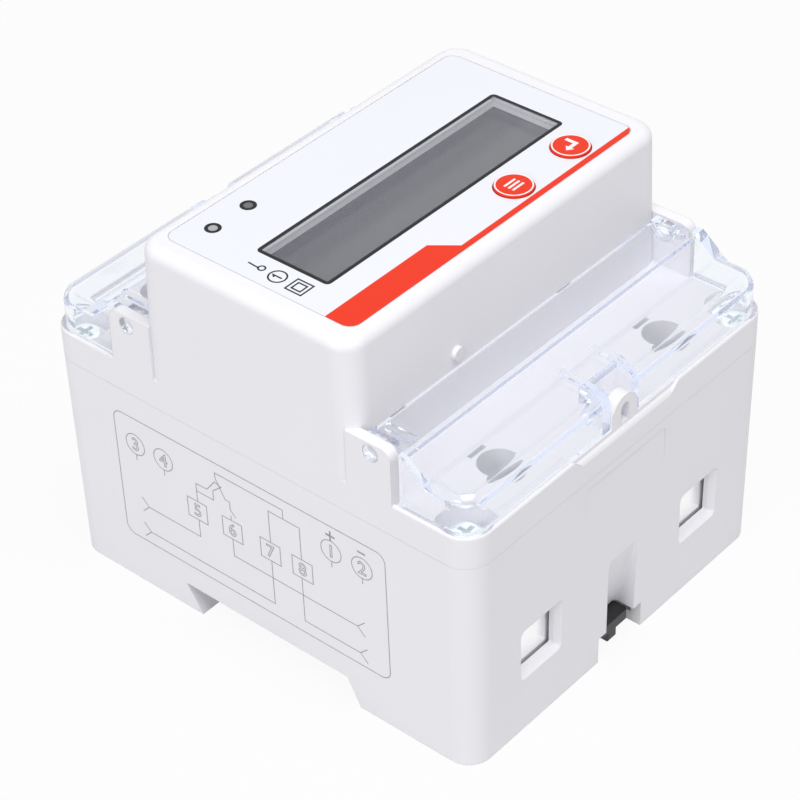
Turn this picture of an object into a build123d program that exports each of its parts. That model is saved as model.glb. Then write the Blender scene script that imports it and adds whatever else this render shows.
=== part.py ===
from build123d import *
import os
from math import atan2, degrees, radians, sqrt, tan

# Single-phase energy meter for a 35 mm rail, four modules wide, lying on its back.
# X runs along the rail, Y is up the front and Z points out of the wall.
# The origin is the middle of the back plane. All sizes are in millimetres.

os.makedirs("parts", exist_ok=True)

# Housing, with the 45 mm block that shows through a distribution board's cover
width = 76.0
front_length = 45.0
deck_length = 21.5
length = front_length + 2 * deck_length
height = 72.4
parting_z = 41.0
ledge_z = 47.0
wall = 2.0
corner_radius = 4.7
body_draft = 0.6
top_edge_radius = 2.0

# Display block between the two terminal decks
front_draft = 2.0
front_corner = 4.0

# Terminal deck with the raised lip round its edge
lip_width = 0.6
lip_height = 0.5
lip_edge_radius = 0.5
deck_z = ledge_z - lip_height
deck_under_z = deck_z - wall

# Rail slot across the back
rail_slot_width = 35.5
rail_slot_depth = 5.2
rail_centre_y = -0.15
hook_overlap = 3.2
release_slope = 2.6
floor_z = rail_slot_depth + wall
slot_top_y = rail_centre_y + rail_slot_width / 2
slot_bottom_y = rail_centre_y - rail_slot_width / 2

# Rail clip and the channel that it slides in
channel_width = 11.4
channel_lip = 1.5
channel_lip_z = 2.0
channel_top_z = rail_slot_depth - 0.1
channel_wall = wall + 0.4
clip_gap = 0.2
clip_travel = 3.5
clip_nose = 3.0
nose_thickness = 1.0
nose_step = 0.8
nose_bevel = 1.4
leg_width = 1.7
leg_slot = 1.0
leg_root = 3.0
tongue_width = 6.8
tongue_low_z = 2.9
tongue_inset = 1.35
tongue_corner = 0.5
stem_width = 2.0
stem_low_z = 0.2
stem_thickness = 1.5
stem_inset = 0.5
ramp_width = 7.3
ramp_depth = 4.4
ramp_low_z = channel_top_z - 0.5
ramp_top_z = 21.0
ramp_corner = 0.8

# Housing screws in the corners
corner_inset_x = 4.6
corner_inset_y = 4.5
corner_screw_x = width / 2 - corner_inset_x
corner_screw_y = length / 2 - corner_inset_y
counterbore_radius = 4.2
seat_z = 43.2
pan_radius = 2.85
pan_height = 1.9
cross_length = 3.3
cross_width = 0.8
cross_depth = 1.2
shank_radius = 1.45
shank_length = 12.0
boss_size = 10.0
boss_inset = 1.0
boss_corner = 3.2
column_radius = 3.3

# Cable windows with a funnel round each, and the clamps behind them
clamp_width = 12.8
column_gap = 3.0
terminal_x = corner_screw_x - column_radius - column_gap - clamp_width / 2
terminal_inset = 8.6
terminal_y = length / 2 - terminal_inset
window_size = 8.7
window_corner = 0.3
window_z = 11.5
window_middle_z = window_z + window_size / 2
funnel_depth = 1.4
funnel_inset = 1.05
funnel_angle = degrees(atan2(funnel_inset, funnel_depth))
wall_lean = parting_z * tan(radians(body_draft))
clamp_gap = 0.2
clamp_front_y = length / 2 - wall - wall_lean - clamp_gap
clamp_back = 5.2
clamp_back_y = terminal_y - clamp_back
clamp_wall = 1.2
clamp_travel = 7.4
clamp_top = 2.5
apron_overlap = 1.9
clamp_low_z = window_z - apron_overlap
bar_width = 9.6
bar_thickness = 2.0
bar_z = window_z + window_size + 1.3
bar_top_z = bar_z + bar_thickness
bar_corner = 1.0
sill_z = bar_z - 0.2
clamp_under_z = bar_top_z + clamp_travel + 0.2
clamp_top_z = clamp_under_z + clamp_top
bar_end_y = clamp_front_y - 1.0
post_length = 2.8
post_gap = 1.1
post_y = clamp_back_y - post_gap - post_length / 2

# Terminal screws and their driver holes
screw_radius = 2.9
thread_clearance = 0.05
head_radius = 3.9
head_height = 3.6
driver_hole = 3.4
guide_radius = 5.2
guide_bottom_z = clamp_top_z + 0.4
head_under_z = guide_bottom_z + 0.2
head_top_z = head_under_z + head_height
head_room = 0.3
drive_slot = 1.0
drive_depth = 1.6
probe_slit_length = 3.6
probe_slit_width = 0.8
probe_slit_gap = 4.3
probe_slit_y = terminal_y - probe_slit_gap

# Hinge ears and clear terminal covers
hinge_gap = 2.7
hinge_y = front_length / 2 + hinge_gap
hinge_z = 54.9
ear_reach = hinge_y + 3.9
ear_top_z = 56.8
ear_corner = 1.8
pin_radius = 1.42
pin_clearance = 0.08
cover_wall = 1.5
cover_top_z = 56.6
cover_low_z = 53.6
cover_gap = 0.1
swing_gap = 0.3
side_gap = 0.2
cover_inner_y = hinge_y - 2.0
cover_end_y = length / 2 - lip_width - swing_gap
low_roof_length = 8.4
slope_length = 3.7
slope_end_y = cover_end_y - low_roof_length
slope_start_y = slope_end_y - slope_length
hood_start_y = slope_start_y - 1.0
cover_half = width / 2 - lip_width - side_gap
ear_gap = 0.2
sheet_half = width / 2 - wall - ear_gap
knuckle_radius = 2.3
knuckle_width = 1.8
cover_foot_z = deck_z + cover_gap
cover_edge_radius = 2.2
sheet_rib_length = 5.9
sheet_rib_width = 1.4
sheet_rib_height = 0.5
sheet_rib_inset = 2.4
sheet_rib_y = hinge_y + 2.0

# Seal lug in the middle of each ledge
lug_width = 6.2
lug_top_z = 51.5
lug_thickness = 2.2
lug_corner = 0.48 * lug_width
lug_slit = 2.0
lug_slit_low_z = deck_z - lug_slit / 2
lug_slit_high_z = 50.0
lug_face_y = length / 2 - lip_width
pocket_gap = 0.4
pocket_wall = 1.1
# The pocket's back swings past the lug's inner top edge with this gap
lug_swing_gap = 0.25
lug_edge_reach = lug_face_y - lug_thickness - lug_swing_gap - hinge_y
pocket_back_y = hinge_y + sqrt(
    lug_edge_reach**2 + (hinge_z - lug_top_z) ** 2 - (hinge_z - cover_foot_z) ** 2
)
fin_start_y = slope_end_y - 1.7
fin_height = 0.6

# Thumb scoop under the lug, label field on the end face, stop bump on the block
scoop_width = 21.0
scoop_slant = 3.0
scoop_low_z = 44.4
scoop_high_z = 45.9
field_width = 20.2
field_low_z = 32.1
field_high_z = 39.2
field_depth = 0.1
field_corner = 0.8
bump_x = -14.4
bump_z = 58.0
bump_radius = 1.2
bump_reach = 0.8

# Front film, display window and display
film_margin_x = 3.9
film_margin_y = 3.5
film_width = width - 2 * film_margin_x
film_length = front_length - 2 * film_margin_y
film_centre_y = -0.1
film_thickness = 0.25
film_corner = 2.0
film_recess = 0.3
film_gap = 0.1
film_z = height - film_recess
film_top_z = film_z + film_thickness
window_x = 0.27
window_y = -1.83
window_margin = 9.75
window_width = width - 2 * window_margin
window_height = 14.4
glass_corner = 0.6
window_border = 0.5
window_plate = 1.25
window_gap = 0.05
top_under_z = height - wall
lcd_depth = 2.75
lcd_width = window_width + 3.5
lcd_height = window_height + 2.0
lcd_thickness = 2.4
lcd_top_z = film_top_z - lcd_depth
backlight_thickness = 3.6
display_board_top_z = lcd_top_z - lcd_thickness - backlight_thickness
board_thickness = 1.6
display_board_z = display_board_top_z - board_thickness
board_corner = 1.5
board_side_gap = 2.5
display_board_width = width - 2 * wall - 2 * board_side_gap
display_board_length = front_length - 7.0
post_inset_x = 2.0
post_inset_y = 3.2
display_post_x = display_board_width / 2 - post_inset_x
display_post_y = display_board_length / 2 - post_inset_y
display_post_radius = 2.2
board_screw_radius = 0.9
board_screw_head = 1.8
board_screw_head_height = 1.3
board_screw_length = 6.0

# Buttons and light pipes
button_inset = 21.5
button_x = width / 2 - button_inset
button_spacing = 14.3
button_y = -14.27
button_radius = 3.25
button_hole = 3.4
button_proud = 0.4
button_flange = 3.8
button_flange_thickness = 1.3
button_travel = 0.3
button_stem = 1.6
switch_size = 6.0
switch_height = 3.5
plunger_radius = 1.7
plunger_height = 0.8
light_y = 14.6
light_inset = 10.25
light_spacing = 7.87
power_x = -width / 2 + light_inset
pulse_x = power_x + light_spacing
light_radius = 0.75
light_gap = 0.08
light_shoulder = 1.5
led_height = 0.8
led_length = 2.0
led_width = 1.25

# Main board between its ribs
main_board_z = 40.4
main_board_top_z = main_board_z + board_thickness
main_board_gap = 1.6
main_board_width = width - 2 * wall - 2 * main_board_gap
main_board_length = front_length - 3.8
rib_thickness = 2.0
rib_reach = 4.2
rib_overlap = 1.2
rib_x = width / 2 - wall + rib_overlap - rib_reach / 2
rib_y = 12.0
centring_thickness = 1.4
centring_slack = 0.2
centring_length = 16.0

# Latching relay on its cradle
relay_width = 23.0
relay_length = 40.0
relay_height = 15.5
relay_z = bar_z + bar_thickness / 2 - relay_height / 2
relay_corner = 1.0
cradle_width = relay_width - 4.0
shunt_length = 6.0
shunt_slot = 1.0

# Parts under the main board: places, plan sizes and how far they hang down
box_x = 11.0
box_y = 12.0
box_length = 18.0
box_width = 8.0
box_height = 14.0
box_corner = 0.5
can_x = 3.0
can_y = -10.0
can_radius = 5.0
can_height = 16.0
can_groove_z = 2.6
can_groove = 0.5
disc_x = 18.0
disc_y = -12.0
disc_radius = 5.0
disc_thickness = 4.0
disc_drop = 6.5
disc_edge = 1.2
disc_lead_radius = 0.4
disc_lead_spacing = 5.0
chip_x = main_board_width / 2 - 5.4
chip_length = 10.3
chip_width = 7.5
chip_height = 2.3
coupler_x = -4.0
coupler_y = 16.0
coupler_length = 6.5
coupler_width = 4.6
coupler_height = 3.5

# Stacking header between the boards
header_x = -14.0
header_y = -14.5
header_pitch = 2.54
header_length = 20.32
header_bare = 3.0
header_pin = 0.64

# Auxiliary terminals in the middle of the top end
aux_pitch = 3.81
aux_width = 15.4
aux_low_z = 28.0
aux_front_y = length / 2 - wall - 0.8
aux_depth = 10.7
aux_top_z = deck_under_z - 0.2
aux_hole = 1.7
aux_screw_radius = 1.5
aux_screw_height = 2.5
aux_screw_top_z = 40.0
aux_screw_slot = 0.5
aux_screw_slot_depth = 0.8
aux_window_width = 2.8
aux_window_height = 3.2
aux_window_z = 32.0


def front_half_length(z):
    """Half the length of the display block at height z."""
    return front_length / 2 - (z - ledge_z) * tan(radians(front_draft))


# Display block with its rounded corners, still solid
with BuildPart() as display_block:
    block_low_z = deck_z - wall / 2
    with BuildSketch(Plane.YZ.offset(-width / 2)):
        with BuildLine():
            Polyline(
                (-front_half_length(block_low_z), block_low_z),
                (front_half_length(block_low_z), block_low_z),
                (front_half_length(height), height),
                (-front_half_length(height), height),
                close=True,
            )
        make_face()
    extrude(amount=width)
    fillet(
        display_block.edges().filter_by(Axis.X, reverse=True).filter_by(Axis.Y, reverse=True),
        radius=front_corner,
    )
    fillet(display_block.faces().sort_by(Axis.Z)[-1].edges(), radius=top_edge_radius)

# Room inside the display block
with BuildPart() as display_room:
    with BuildSketch(Plane.YZ.offset(-width / 2 + wall)):
        with BuildLine():
            Polyline(
                (-front_half_length(parting_z) + wall, parting_z),
                (front_half_length(parting_z) - wall, parting_z),
                (front_half_length(top_under_z) - wall, top_under_z),
                (-front_half_length(top_under_z) + wall, top_under_z),
                close=True,
            )
        make_face()
    extrude(amount=width - 2 * wall)
    fillet(
        display_room.edges().filter_by(Axis.X, reverse=True).filter_by(Axis.Y, reverse=True),
        radius=front_corner - wall,
    )

# Cutter for the driver ramp in the bottom end wall, deepest at the clip
with BuildPart() as driver_ramp:
    ramp_rise = (ramp_top_z - ramp_low_z) / ramp_depth
    with BuildSketch(Plane.YZ.offset(-ramp_width / 2)):
        with BuildLine():
            Polyline(
                (-length / 2 - 1, ramp_low_z),
                (-length / 2 + ramp_depth, ramp_low_z),
                (-length / 2 - 1, ramp_top_z + ramp_rise),
                close=True,
            )
        make_face()
    extrude(amount=ramp_width)
    slanted = driver_ramp.edges().filter_by(lambda e: min(abs(e.tangent_at(0.5).Y), abs(e.tangent_at(0.5).Z)) > 0.1)
    fillet(slanted, radius=ramp_corner)

# Cutter for the thumb scoop at the bottom end: a rounded slope up to the lug's face
with BuildPart() as thumb_scoop:
    scoop_half = scoop_width / 2
    with BuildSketch(Plane.YZ.offset(-scoop_half - scoop_slant)):
        with BuildLine():
            ThreePointArc(
                (-length / 2, scoop_low_z),
                (-lug_face_y - lip_width * 0.65, (scoop_low_z + scoop_high_z) / 2 + 0.3),
                (-lug_face_y, scoop_high_z),
            )
            Polyline(
                (-lug_face_y, scoop_high_z),
                (-lug_face_y, ledge_z),
                (-length / 2 - 1, ledge_z),
                (-length / 2 - 1, scoop_low_z),
                (-length / 2, scoop_low_z),
            )
        make_face()
    extrude(amount=2 * (scoop_half + scoop_slant))
    with BuildSketch(Plane.XZ.offset(lug_face_y)):
        with BuildLine():
            Polyline(
                (-scoop_half - scoop_slant, ledge_z),
                (-scoop_half, scoop_low_z),
                (scoop_half, scoop_low_z),
                (scoop_half + scoop_slant, ledge_z),
                close=True,
            )
        make_face()
    extrude(amount=lip_width + 1, mode=Mode.INTERSECT)

# Lower housing half
with BuildPart() as lower_housing:
    with BuildSketch(Plane.XY.offset(parting_z)):
        RectangleRounded(width, length, corner_radius)
    extrude(amount=-parting_z, taper=body_draft)
    # The inside, down to the floor over the rail slot
    with BuildSketch(Plane.XY.offset(parting_z)):
        RectangleRounded(width - 2 * wall, length - 2 * wall, corner_radius - wall)
    extrude(amount=floor_z - parting_z, taper=body_draft, mode=Mode.SUBTRACT)
    # Deeper pockets in the feet on both sides of the slot
    pocket_end_y = length / 2 - wall - wall_lean
    pocket_half_x = width / 2 - wall - wall_lean
    low_pocket_y = slot_bottom_y - release_slope - wall
    high_pocket_y = slot_top_y + wall
    channel_side = channel_width / 2 + channel_lip + wall
    with BuildSketch(Plane.XY.offset(wall)):
        for side in (-1, 1):
            with Locations((side * (channel_side + pocket_half_x) / 2, (low_pocket_y - pocket_end_y) / 2)):
                RectangleRounded(pocket_half_x - channel_side, pocket_end_y + low_pocket_y, wall / 2)
        with Locations((0, (high_pocket_y + pocket_end_y) / 2)):
            RectangleRounded(2 * pocket_half_x, pocket_end_y - high_pocket_y, wall / 2)
    extrude(amount=floor_z - wall, mode=Mode.SUBTRACT)
    # Cable windows through both end walls
    with BuildSketch(Plane.XZ):
        with Locations((-terminal_x, window_middle_z), (terminal_x, window_middle_z)):
            RectangleRounded(window_size, window_size, window_corner)
    extrude(amount=length, both=True, mode=Mode.SUBTRACT)
    # The funnels round them
    for side in (-1, 1):
        with BuildSketch(Plane.XZ.offset(-side * length / 2)):
            with Locations((-terminal_x, window_middle_z), (terminal_x, window_middle_z)):
                RectangleRounded(
                    window_size + 2 * funnel_inset,
                    window_size + 2 * funnel_inset,
                    window_corner + funnel_inset,
                )
        extrude(amount=side * funnel_depth, taper=funnel_angle, mode=Mode.SUBTRACT)
    # Thicker wall behind the driver ramp over the clip
    with BuildSketch(Plane.XY.offset(rail_slot_depth)):
        with Locations((0, -length / 2 + wall + ramp_depth / 2)):
            Rectangle(ramp_width + 2 * wall, ramp_depth + wall)
    extrude(amount=ramp_top_z + wall - rail_slot_depth)
    # Columns for the housing screws
    with BuildSketch(Plane.XY.offset(wall)):
        with GridLocations(2 * corner_screw_x, 2 * corner_screw_y, 2, 2):
            Circle(column_radius)
    extrude(amount=parting_z - wall)
    # Posts under the busbars
    with BuildSketch(Plane.XY.offset(wall)):
        with GridLocations(2 * terminal_x, 2 * post_y, 2, 2):
            Rectangle(bar_width * 0.6, post_length)
    extrude(amount=bar_z - wall)
    # Ribs on the side walls that carry the main board
    with BuildSketch(Plane.XY.offset(wall)):
        with GridLocations(2 * rib_x, 2 * rib_y, 2, 2):
            Rectangle(rib_reach, rib_thickness)
    extrude(amount=main_board_z - wall)
    # Cradle under the relay
    with BuildSketch(Plane.XY.offset(wall)):
        with Locations((-terminal_x, -rib_y), (-terminal_x, rib_y)):
            Rectangle(cradle_width, rib_thickness)
    extrude(amount=relay_z - wall)
    # Shelf under the auxiliary terminals
    with BuildSketch(Plane.XY.offset(wall)):
        with GridLocations(aux_width - rib_thickness, 1, 2, 1):
            with Locations((0, aux_front_y - aux_depth / 2)):
                Rectangle(rib_thickness, aux_depth - 1)
    extrude(amount=aux_low_z - wall)
    # Rail slot with its fixed hook on the upper side
    with BuildSketch(Plane.YZ.offset(-width / 2)):
        with BuildLine():
            Polyline(
                (slot_bottom_y - release_slope, 0),
                (slot_bottom_y, rail_slot_depth),
                (slot_top_y, rail_slot_depth),
                (slot_top_y - hook_overlap, 0),
                close=True,
            )
        make_face()
    extrude(amount=width, mode=Mode.SUBTRACT)
    # Clip channel, wider above its two guide lips
    channel_length = length / 2 + slot_bottom_y + 1
    groove_length = channel_length - channel_wall
    with BuildSketch():
        with Locations((0, -length / 2 + channel_length / 2)):
            Rectangle(channel_width, channel_length)
    extrude(amount=channel_top_z, mode=Mode.SUBTRACT)
    with BuildSketch(Plane.XY.offset(channel_lip_z)):
        with Locations((0, -length / 2 + channel_wall + groove_length / 2)):
            Rectangle(channel_width + 2 * channel_lip, groove_length)
    extrude(amount=channel_top_z - channel_lip_z, mode=Mode.SUBTRACT)
    # Driver ramp in the end wall
    add(driver_ramp.part, mode=Mode.SUBTRACT)
    # Shallow field in the bottom end face
    with BuildSketch(Plane.XZ.offset(length / 2 - field_depth)):
        with Locations((0, (field_low_z + field_high_z) / 2)):
            RectangleRounded(field_width, field_high_z - field_low_z, field_corner)
    extrude(amount=2, mode=Mode.SUBTRACT)
    # Wire entries of the auxiliary terminals in the top end
    with BuildSketch(Plane.XZ.offset(-length / 2 - 1)):
        with Locations((0, aux_window_z)):
            with GridLocations(aux_pitch, 1, 4, 1):
                Rectangle(aux_window_width, aux_window_height)
    extrude(amount=wall + 1.5, mode=Mode.SUBTRACT)
    # Pilot holes of the housing screws
    with Locations(Plane.XY.offset(parting_z)):
        with GridLocations(2 * corner_screw_x, 2 * corner_screw_y, 2, 2):
            Hole(shank_radius + thread_clearance, depth=shank_length)
lower_housing.part.label = "lower_housing"

# Upper housing half
with BuildPart() as upper_housing:
    with BuildSketch(Plane.XY.offset(parting_z)):
        RectangleRounded(width, length, corner_radius)
    extrude(amount=ledge_z - parting_z)
    fillet(upper_housing.faces().sort_by(Axis.Z)[-1].edges(), radius=lip_edge_radius)
    with BuildSketch(Plane.XY.offset(deck_z)):
        RectangleRounded(width - 2 * lip_width, length - 2 * lip_width, corner_radius - lip_width)
    extrude(amount=lip_height, mode=Mode.SUBTRACT)
    add(display_block.part)
    # Hinge ears, in one plane with the sides
    ear_low_z = deck_z - wall / 2
    ear_root_y = front_half_length(ear_top_z) - wall
    for ear_face_x in (-width / 2, width / 2 - wall):
        with BuildSketch(Plane.YZ.offset(ear_face_x)) as ear_profile:
            for side in (-1, 1):
                with Locations((side * (ear_root_y + ear_reach) / 2, (ear_low_z + ear_top_z) / 2)):
                    Rectangle(ear_reach - ear_root_y, ear_top_z - ear_low_z)
            fillet(ear_profile.vertices().group_by(Axis.Y)[-1].sort_by(Axis.X)[0::3], radius=ear_corner)
        extrude(amount=wall)
    # Seal lugs
    for side in (-1, 1):
        with BuildSketch(Plane.XZ.offset(-side * (lug_face_y - lug_thickness / 2))) as lug_profile:
            with Locations((0, (deck_z + lug_top_z) / 2)):
                Rectangle(lug_width, lug_top_z - deck_z)
            fillet(lug_profile.vertices().group_by(Axis.Y)[-1], radius=lug_corner)
            with Locations((0, (lug_slit_low_z + lug_slit_high_z) / 2)):
                SlotOverall(lug_slit_high_z - lug_slit_low_z, lug_slit, rotation=90, mode=Mode.SUBTRACT)
        extrude(amount=lug_thickness / 2, both=True)
    # Rooms under the decks and in the block
    with BuildSketch(Plane.XY.offset(parting_z)):
        RectangleRounded(width - 2 * wall, length - 2 * wall, corner_radius - wall)
    extrude(amount=deck_under_z - parting_z, mode=Mode.SUBTRACT)
    add(display_room.part, mode=Mode.SUBTRACT)
    # Corner bosses under the counterbores
    with BuildSketch(Plane.XY.offset(parting_z)):
        with GridLocations(2 * (corner_screw_x - boss_inset), 2 * (corner_screw_y - boss_inset), 2, 2):
            RectangleRounded(boss_size, boss_size, boss_corner)
    extrude(amount=deck_under_z - parting_z)
    # Guide tubes for the terminal screws
    with BuildSketch(Plane.XY.offset(guide_bottom_z)):
        with GridLocations(2 * terminal_x, 2 * terminal_y, 2, 2):
            Circle(guide_radius)
    extrude(amount=deck_under_z - guide_bottom_z)
    with BuildSketch(Plane.XY.offset(guide_bottom_z)):
        with GridLocations(2 * terminal_x, 2 * terminal_y, 2, 2):
            Circle(head_radius + head_room)
    extrude(amount=head_top_z + head_room - guide_bottom_z, mode=Mode.SUBTRACT)
    with Locations(Plane.XY.offset(deck_z)):
        with GridLocations(2 * terminal_x, 2 * terminal_y, 2, 2):
            Hole(driver_hole, depth=deck_z - head_top_z)
    # Blind probe slits beside the screw holes
    with BuildSketch(Plane.XY.offset(deck_z)):
        with GridLocations(2 * terminal_x, 2 * probe_slit_y, 2, 2):
            Rectangle(probe_slit_length, probe_slit_width)
    extrude(amount=-wall * 0.75, mode=Mode.SUBTRACT)
    # Housing screw counterbores
    with Locations(Plane.XY.offset(ledge_z)):
        with GridLocations(2 * corner_screw_x, 2 * corner_screw_y, 2, 2):
            CounterBoreHole(
                radius=shank_radius + 0.2,
                counter_bore_radius=counterbore_radius,
                counter_bore_depth=ledge_z - seat_z,
                depth=ledge_z - parting_z,
            )
    # Hinge pin holes
    with BuildSketch(Plane.YZ):
        with Locations((-hinge_y, hinge_z), (hinge_y, hinge_z)):
            Circle(pin_radius + pin_clearance)
    extrude(amount=width, both=True, mode=Mode.SUBTRACT)
    # Holes over the auxiliary terminal screws
    with Locations(Plane.XY.offset(deck_z)):
        with Locations((0, aux_front_y - aux_depth / 2)):
            with GridLocations(aux_pitch, 1, 4, 1):
                Hole(aux_hole, depth=2 * wall)
    # Ribs that hold the main board down
    with BuildSketch(Plane.XY.offset(main_board_top_z)):
        with GridLocations(2 * rib_x, 2 * rib_y, 2, 2):
            Rectangle(rib_reach, rib_thickness)
    extrude(amount=ledge_z - main_board_top_z)
    # Tongues that centre the two halves
    centring_x = width / 2 - wall - centring_thickness / 2
    with BuildSketch(Plane.XY.offset(parting_z)):
        with Locations((-centring_x, 0), (centring_x, 0)):
            Rectangle(centring_thickness, centring_length)
    extrude(amount=wall)
    with BuildSketch(Plane.XY.offset(parting_z)):
        with Locations((-centring_x + centring_slack / 2, 0), (centring_x - centring_slack / 2, 0)):
            Rectangle(centring_thickness - centring_slack, centring_length)
    extrude(amount=-wall)
    # Thumb scoops under the lugs
    add(thumb_scoop.part, mode=Mode.SUBTRACT)
    add(mirror(thumb_scoop.part, about=Plane.XZ, mode=Mode.PRIVATE), mode=Mode.SUBTRACT)
    # Stop bump on the bottom wall of the block
    with BuildSketch(Plane.XZ.offset(front_half_length(bump_z) - wall / 2)):
        with Locations((bump_x, bump_z)):
            Circle(bump_radius)
    extrude(amount=wall / 2 + bump_reach)
    # Rim round the display opening, down to the glass
    with BuildSketch(Plane.XY.offset(top_under_z)):
        with Locations((window_x, window_y)):
            Rectangle(window_width + 2, window_height + 1.4)
    extrude(amount=lcd_top_z + window_gap - top_under_z)
    # Posts for the display board
    with BuildSketch(Plane.XY.offset(display_board_top_z)):
        with GridLocations(2 * display_post_x, 2 * display_post_y, 2, 2):
            Circle(display_post_radius)
            Circle(board_screw_radius + thread_clearance, mode=Mode.SUBTRACT)
    extrude(amount=top_under_z - display_board_top_z)
    # Film recess, window seat and display opening
    with BuildSketch(Plane.XY.offset(film_z)):
        with Locations((0, film_centre_y)):
            RectangleRounded(film_width + 2 * film_gap, film_length + 2 * film_gap, film_corner)
    extrude(amount=film_recess, mode=Mode.SUBTRACT)
    with BuildSketch(Plane.XY.offset(film_top_z - window_plate)):
        with Locations((window_x, window_y)):
            RectangleRounded(window_width, window_height, glass_corner)
    extrude(amount=window_plate, mode=Mode.SUBTRACT)
    with BuildSketch(Plane.XY.offset(lcd_top_z)):
        with Locations((window_x, window_y)):
            Rectangle(window_width - 2 * window_border, window_height - 2 * window_border)
    extrude(amount=lcd_depth, mode=Mode.SUBTRACT)
    # Button and light pipe holes
    with Locations(Plane.XY.offset(height)):
        with Locations((button_x, button_y)):
            with GridLocations(button_spacing, 1, 2, 1):
                Hole(button_hole, depth=2 * wall)
        with Locations((power_x, light_y), (pulse_x, light_y)):
            Hole(light_radius + light_gap, depth=2 * wall)
upper_housing.part.label = "upper_housing"


def hood_outline(inset, foot_z):
    """Corners of the hood's profile as (distance outward, height), shrunk by inset."""
    return [
        (hood_start_y - 2 * inset, foot_z),
        (hood_start_y - 2 * inset, cover_top_z - inset),
        (slope_start_y - inset * 0.4, cover_top_z - inset),
        (slope_end_y - inset * 0.4, cover_low_z - inset),
        (cover_end_y - inset, cover_low_z - inset),
        (cover_end_y - inset, foot_z),
    ]


def hood_solid(inset, foot_z, edge_radius):
    """Closed hood of a terminal cover at the bottom end, or the room inside it."""
    half = cover_half - inset
    with BuildPart() as hood:
        with BuildSketch(Plane.YZ.offset(-half)):
            with BuildLine():
                Polyline([(-out, z) for out, z in hood_outline(inset, foot_z)], close=True)
            make_face()
        extrude(amount=2 * half)
        outer_edges = hood.edges().filter_by(Axis.Z).group_by(Axis.Y)[0]
        fillet(outer_edges, radius=corner_radius - lip_width - inset)
        rim = hood.edges().filter_by(lambda e: e.center().Z > cover_low_z - inset - 0.01)
        rim = rim.filter_by(lambda e: e.center().Y < -slope_end_y + 0.5)
        rim = rim.filter_by(lambda e: not (abs(e.center().X) < 1 and e.center().Y > -cover_end_y + 2 * inset + 1))
        fillet(rim, radius=edge_radius)
    return hood.part


hood_outside = hood_solid(0.0, cover_foot_z, cover_edge_radius)
hood_inside = hood_solid(cover_wall, cover_foot_z - 1, cover_edge_radius - cover_wall)

# Clear cover over the bottom terminals, hinged on the block's ears
with BuildPart() as bottom_terminal_cover:
    add(hood_outside)
    add(hood_inside, mode=Mode.SUBTRACT)
    # Flat sheet between the ears
    with BuildSketch(Plane.XY.offset(cover_top_z - cover_wall)):
        with Locations((0, -(cover_inner_y + slope_start_y) / 2)):
            Rectangle(2 * sheet_half, slope_start_y - cover_inner_y)
    extrude(amount=cover_wall)
    # Pocket round the seal lug, open at the top and the front
    pocket_half = lug_width / 2 + pocket_gap
    with BuildSketch(Plane.XY.offset(cover_foot_z)):
        with Locations((0, -(pocket_back_y - pocket_wall + cover_end_y - 0.5) / 2)):
            Rectangle(2 * (pocket_half + pocket_wall), cover_end_y - 0.5 - pocket_back_y + pocket_wall)
    extrude(amount=cover_low_z - cover_wall / 2 - cover_foot_z)
    with BuildSketch(Plane.XY.offset(cover_foot_z)):
        with Locations((0, -(pocket_back_y + cover_end_y + 1) / 2)):
            Rectangle(2 * pocket_half, cover_end_y + 1 - pocket_back_y)
    extrude(amount=cover_top_z - cover_foot_z, mode=Mode.SUBTRACT)
    # Slit in the back of the pocket for the seal wire
    with BuildSketch(Plane.XZ.offset(pocket_back_y)):
        with Locations((0, (lug_slit_low_z + lug_slit_high_z) / 2)):
            SlotOverall(lug_slit_high_z - lug_slit_low_z, lug_slit, rotation=90)
    extrude(amount=-2 * pocket_wall, mode=Mode.SUBTRACT)
    # Fins that run on from the pocket's sides
    for side in (-1, 1):
        with BuildSketch(Plane.YZ.offset(side * (pocket_half + pocket_wall / 2))):
            with BuildLine():
                Polyline(
                    (-fin_start_y, cover_low_z + fin_height),
                    (-fin_start_y, cover_low_z - cover_wall / 2),
                    (-cover_end_y + cover_edge_radius, cover_low_z - cover_wall / 2),
                    (-cover_end_y + cover_edge_radius, cover_low_z),
                    (-cover_end_y + 2 * cover_edge_radius, cover_low_z + fin_height),
                    close=True,
                )
            make_face()
        extrude(amount=pocket_wall / 2, both=True)
    # Ribs on the sheet beside the ears
    sheet_rib_x = sheet_half - sheet_rib_inset
    with BuildSketch(Plane.XY.offset(cover_top_z - cover_wall / 2)):
        with Locations((-sheet_rib_x, -sheet_rib_y), (sheet_rib_x, -sheet_rib_y)):
            SlotOverall(sheet_rib_length, sheet_rib_width, rotation=90)
    extrude(amount=cover_wall / 2 + sheet_rib_height)
    # Knuckles with the hinge pins
    for side in (-1, 1):
        with BuildSketch(Plane.YZ.offset(side * (sheet_half - knuckle_width / 2))):
            with Locations((-hinge_y, hinge_z)):
                Circle(knuckle_radius)
            with Locations((-hinge_y, (hinge_z + cover_top_z) / 2)):
                Rectangle(2 * knuckle_radius, cover_top_z - hinge_z, mode=Mode.ADD)
            with Locations((-hinge_y, cover_top_z + knuckle_radius)):
                Rectangle(3 * knuckle_radius, 2 * knuckle_radius, mode=Mode.SUBTRACT)
        extrude(amount=knuckle_width / 2, both=True)
        with BuildSketch(Plane.YZ.offset(side * (sheet_half - 0.5))):
            with Locations((-hinge_y, hinge_z)):
                Circle(pin_radius)
        extrude(amount=side * (width / 2 - 0.1 - sheet_half + 0.5))
bottom_terminal_cover.part.label = "bottom_terminal_cover"

# The cover over the top terminals is the same moulding, turned round
with BuildPart() as top_terminal_cover:
    mirror(bottom_terminal_cover.part, about=Plane.XZ)
top_terminal_cover.part.label = "top_terminal_cover"

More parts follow.
